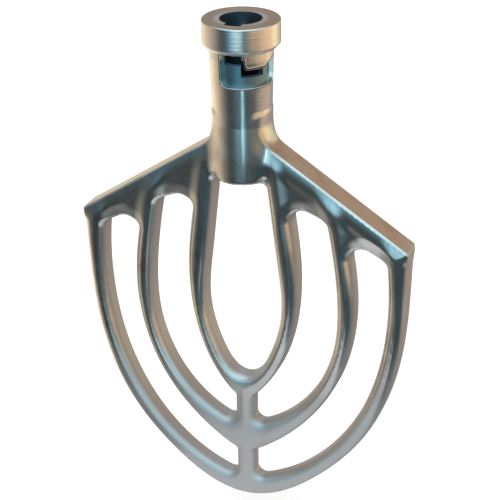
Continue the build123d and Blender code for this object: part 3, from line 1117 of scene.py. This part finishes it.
@dataclass
class Studio:
    """Camera, pale floor, the room that the metal mirrors, a strip light and a pale card."""

    azimuth: float = 20.89
    elevation: float = 26.08
    roll: float = -0.89
    distance: float = 946.8
    target: tuple[float, float, float] = (3.46, 0.0, -149.53)
    focal: float = 109.4
    floor_height: float = -345.0
    floor_reach: float = 12000.0
    low_wall_top: tuple[float, float] = (-0.345, -0.325)
    high_wall_top: tuple[float, float] = (-0.05, 0.12)
    ceiling_edge: tuple[float, float] = (0.6, 0.9)
    floor_edge: tuple[float, float] = (-0.60, -0.80)
    ceiling_tint: tuple[float, float, float, float] = (1.05, 1.25, 1.35, 1.0)
    floor_tint: tuple[float, float, float, float] = (0.32, 0.34, 0.34, 1.0)
    white_strength: float = 1.35
    strip_size: tuple[float, float] = (26.0, 55.0)
    strip_power: float = 0.007
    strip_colour: tuple[float, float, float] = (0.43, 0.86, 1.0)
    strip_bearing: float = 1.0
    strip_distance: float = 200.0
    strip_height: float = -128.0
    card_sides: tuple[float, float, float, float] = (-75.0, 130.0, -225.0, -5.0)
    card_gap: float = 2.0
    card_strength: float = 0.68

    def camera(self) -> None:
        """Sets the camera on its bearing from the target, level but for a slight roll."""
        azimuth, elevation, roll = np.radians([self.azimuth, self.elevation, self.roll])
        back = np.array(
            [np.sin(azimuth) * np.cos(elevation), -np.cos(azimuth) * np.cos(elevation), np.sin(elevation)]
        )
        level = np.array([np.cos(azimuth), np.sin(azimuth), 0.0])
        above = np.cross(back, level)
        right = level * np.cos(roll) + above * np.sin(roll)
        up = -level * np.sin(roll) + above * np.cos(roll)
        place = (np.array(self.target) + back * self.distance) * METRES
        data = bpy.data.cameras.new("studio_camera")
        data.lens = self.focal
        data.sensor_width = 36.0
        data.clip_start = 0.05
        data.clip_end = 100.0
        camera = bpy.data.objects.new("studio_camera", data)
        camera.matrix_world = Matrix(
            [(right[i], up[i], back[i], place[i]) for i in range(3)] + [(0.0, 0.0, 0.0, 1.0)]
        )
        bpy.context.scene.collection.objects.link(camera)
        bpy.context.scene.camera = camera

    def floor(self) -> None:
        """Lays the pale floor a little below the paddle, which is held by its bore."""
        reach = self.floor_reach
        mesh = level_sheet("floor", (-reach, reach, -reach, reach), self.floor_height)
        material = bpy.data.materials.new("pale floor")
        material.use_nodes = True
        shader = material.node_tree.nodes["Principled BSDF"]
        shader.inputs["Base Color"].default_value = (0.92, 0.92, 0.92, 1.0)
        shader.inputs["Roughness"].default_value = 0.9
        shader.inputs["Specular IOR Level"].default_value = 0.0
        mesh.materials.append(material)
        floor = bpy.data.objects.new("floor", mesh)
        floor.visible_glossy = False
        bpy.context.scene.collection.objects.link(floor)

    def room(self) -> None:
        """Lights the part with a soft room.

        Metal mirrors three rings of warm, dark and cool walls, low, high and under the ceiling, whose colour
        changes with the bearing. Over them is a bright ceiling and under them a grey floor. All else gets
        even white light, and the room is white where the camera looks past the part.
        """
        world = bpy.data.worlds.new("studio room")
        world.use_nodes = True
        tree = world.node_tree
        tree.nodes.clear()
        output = tree.nodes.new("ShaderNodeOutputWorld")
        output.label = "room"
        place = tree.nodes.new("ShaderNodeTexCoord")
        place.label = "direction in the room"
        axes = tree.nodes.new("ShaderNodeSeparateXYZ")
        axes.label = "right, back and up"

        walls = tree.nodes.new("NodeFrame")
        walls.label = "ring of walls"
        forward = tree.nodes.new("ShaderNodeMath")
        forward.label = "towards the front"
        bearing = tree.nodes.new("ShaderNodeMath")
        bearing.label = "bearing from the front to the right"
        turned_to = tree.nodes.new("ShaderNodeMath")
        turned_to.label = "bearing as a share of a turn"
        wrapped = tree.nodes.new("ShaderNodeMath")
        wrapped.label = "share within one turn"
        low_colour = tree.nodes.new("ShaderNodeValToRGB")
        low_colour.label = "floor and low walls round the room"
        high_colour = tree.nodes.new("ShaderNodeValToRGB")
        high_colour.label = "high walls round the room"
        rising = tree.nodes.new("ShaderNodeMapRange")
        rising.label = "above the horizon"
        walls_mix = tree.nodes.new("ShaderNodeMix")
        walls_mix.label = "low to high walls"

        upper_colour = tree.nodes.new("ShaderNodeValToRGB")
        upper_colour.label = "walls under the ceiling"
        lifting = tree.nodes.new("ShaderNodeMapRange")
        lifting.label = "above the eye's height"
        upper_mix = tree.nodes.new("ShaderNodeMix")
        upper_mix.label = "high walls to those under the ceiling"
        under = tree.nodes.new("ShaderNodeMapRange")
        under.label = "floor under the paddle"
        floor_mix = tree.nodes.new("ShaderNodeMix")
        floor_mix.label = "low walls to the floor under the paddle"

        ceiling = tree.nodes.new("NodeFrame")
        ceiling.label = "from low walls to ceiling"
        height = tree.nodes.new("ShaderNodeMapRange")
        height.label = "height of the ceiling's edge"
        above = tree.nodes.new("ShaderNodeMix")
        above.label = "walls to ceiling"

        use = tree.nodes.new("NodeFrame")
        use.label = "white for the floor and the view"
        path = tree.nodes.new("ShaderNodeLightPath")
        path.label = "what is looking"
        room_light = tree.nodes.new("ShaderNodeBackground")
        room_light.label = "room that the metal mirrors"
        white_light = tree.nodes.new("ShaderNodeBackground")
        white_light.label = "even white light"
        chosen = tree.nodes.new("ShaderNodeMixShader")
        chosen.label = "metal or all else"
        layout = (
            (None, ((output, 1200, 0), (place, -1200, 0), (axes, -1000, 0), (room_light, 600, 100))),
            (
                walls,
                (
                    (forward, -800, 150), (bearing, -600, 150), (turned_to, -400, 150),
                    (wrapped, -200, 150), (low_colour, 0, 250), (high_colour, 0, 0), (rising, -200, -50),
                    (walls_mix, 300, 200), (upper_colour, 0, -250), (lifting, -200, -300),
                    (upper_mix, 400, 0), (under, -200, 450), (floor_mix, 150, 450),
                ),
            ),
            (ceiling, ((height, 0, -200), (above, 500, 50))),
            (use, ((path, 350, -350), (white_light, 600, -50), (chosen, 900, 0))),
        )
        for group, members in layout:
            for node, right, up in members:
                node.location = (right, up)
                node.parent = group

        forward.operation = "MULTIPLY"
        forward.inputs[1].default_value = -1.0
        bearing.operation = "ARCTAN2"
        turned_to.operation = "MULTIPLY_ADD"
        turned_to.inputs[1].default_value = 1.0 / (2.0 * np.pi)
        turned_to.inputs[2].default_value = 0.5 - self.azimuth / 360.0
        wrapped.operation = "FRACT"
        rings = (
            (low_colour.color_ramp, LOW_WALLS),
            (high_colour.color_ramp, HIGH_WALLS),
            (upper_colour.color_ramp, UPPER_WALLS),
        )
        for ramp, stops in rings:
            ramp.elements[0].position = 0.0
            ramp.elements[0].color = (*stops[0][1], 1.0)
            ramp.elements[1].position = 1.0
            ramp.elements[1].color = (*stops[0][1], 1.0)
            for degrees, tint in stops[1:]:
                stop = ramp.elements.new((degrees + 180.0) / 360.0)
                stop.color = (*tint, 1.0)
        for split, (start, end) in (
            (rising, self.low_wall_top),
            (lifting, self.high_wall_top),
            (under, self.floor_edge),
            (height, self.ceiling_edge),
        ):
            split.inputs["From Min"].default_value = start
            split.inputs["From Max"].default_value = end
        for mix in (walls_mix, upper_mix, floor_mix, above):
            mix.data_type = "RGBA"
        floor_mix.inputs["B"].default_value = self.floor_tint
        above.inputs["B"].default_value = self.ceiling_tint
        room_light.inputs["Strength"].default_value = 1.0
        white_light.inputs["Color"].default_value = (1.0, 1.0, 1.0, 1.0)
        white_light.inputs["Strength"].default_value = self.white_strength

        links = tree.links
        links.new(place.outputs["Generated"], axes.inputs["Vector"])
        links.new(axes.outputs["Y"], forward.inputs[0])
        links.new(axes.outputs["X"], bearing.inputs[0])
        links.new(forward.outputs["Value"], bearing.inputs[1])
        links.new(bearing.outputs["Value"], turned_to.inputs[0])
        links.new(turned_to.outputs["Value"], wrapped.inputs[0])
        links.new(wrapped.outputs["Value"], low_colour.inputs["Fac"])
        links.new(wrapped.outputs["Value"], high_colour.inputs["Fac"])
        links.new(axes.outputs["Z"], rising.inputs["Value"])
        links.new(rising.outputs["Result"], walls_mix.inputs["Factor"])
        links.new(axes.outputs["Z"], lifting.inputs["Value"])
        links.new(axes.outputs["Z"], under.inputs["Value"])
        links.new(wrapped.outputs["Value"], upper_colour.inputs["Fac"])
        links.new(under.outputs["Result"], floor_mix.inputs["Factor"])
        links.new(low_colour.outputs["Color"], floor_mix.inputs["A"])
        links.new(floor_mix.outputs["Result"], walls_mix.inputs["A"])
        links.new(high_colour.outputs["Color"], walls_mix.inputs["B"])
        links.new(axes.outputs["Z"], height.inputs["Value"])
        links.new(height.outputs["Result"], above.inputs["Factor"])
        links.new(walls_mix.outputs["Result"], upper_mix.inputs["A"])
        links.new(upper_colour.outputs["Color"], upper_mix.inputs["B"])
        links.new(lifting.outputs["Result"], upper_mix.inputs["Factor"])
        links.new(upper_mix.outputs["Result"], above.inputs["A"])
        links.new(above.outputs["Result"], room_light.inputs["Color"])
        links.new(path.outputs["Is Glossy Ray"], chosen.inputs["Fac"])
        links.new(white_light.outputs["Background"], chosen.inputs[1])
        links.new(room_light.outputs["Background"], chosen.inputs[2])
        links.new(chosen.outputs["Shader"], output.inputs["Surface"])
        bpy.context.scene.world = world

    def strip(self) -> None:
        """Hangs the tall cool strip light that gives the shank its bright line."""
        data = bpy.data.lights.new("cool_strip", "AREA")
        data.shape = "RECTANGLE"
        data.size, data.size_y = (side * METRES for side in self.strip_size)
        data.energy = self.strip_power
        data.color = self.strip_colour
        bearing = np.radians(self.azimuth + self.strip_bearing)
        foot = Vector((np.sin(bearing), -np.cos(bearing), 0.0)) * (self.strip_distance * METRES)
        light = bpy.data.objects.new("cool_strip", data)
        light.location = foot + Vector((0.0, 0.0, self.strip_height * METRES))
        light.rotation_mode = "QUATERNION"
        light.rotation_quaternion = foot.to_track_quat("Z", "Y")
        light.visible_camera = False
        bpy.context.scene.collection.objects.link(light)

    def pale_card(self) -> None:
        """Lays a pale card under the paddle's front, which only the metal mirrors."""
        mesh = level_sheet("pale_card", self.card_sides, self.floor_height + self.card_gap)
        material = bpy.data.materials.new("pale card")
        material.use_nodes = True
        shader = material.node_tree.nodes["Principled BSDF"]
        shader.inputs["Base Color"].default_value = (0.0, 0.0, 0.0, 1.0)
        shader.inputs["Specular IOR Level"].default_value = 0.0
        shader.inputs["Emission Color"].default_value = (0.93, 0.98, 1.0, 1.0)
        shader.inputs["Emission Strength"].default_value = self.card_strength
        mesh.materials.append(material)
        card = bpy.data.objects.new("pale_card", mesh)
        card.visible_camera = False
        card.visible_diffuse = False
        card.visible_shadow = False
        bpy.context.scene.collection.objects.link(card)

    def build(self) -> None:
        """Sets up camera, floor, room, strip light and card."""
        self.camera()
        self.floor()
        self.room()
        self.strip()
        self.pale_card()
        bpy.context.scene.view_settings.view_transform = "Standard"
        LOG.info("studio: floor at %.0f mm, camera %.0f mm away", self.floor_height, self.distance)


def main() -> None:
    """Builds the pieces in order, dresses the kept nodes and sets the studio."""
    logging.basicConfig(level=logging.INFO, format="%(name)s: %(message)s")
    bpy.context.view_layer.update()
    PaddleCasting().build(metal(CASTING))
    CollarBand().build(metal(COLLAR))
    for node, finish, slot in (("drive_sleeve", SLEEVE_WITH_PAINTED_TEAL, "sleeve"), ("sleeve_dowels", DOWELS, "dowels")):
        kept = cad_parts[node]
        kept.data.materials.clear()
        kept.data.materials.append(metal(finish))
        LOG.info("%s: kept, %s", node, finish.label)
    Studio().build()


if __name__ == "__main__":
    main()
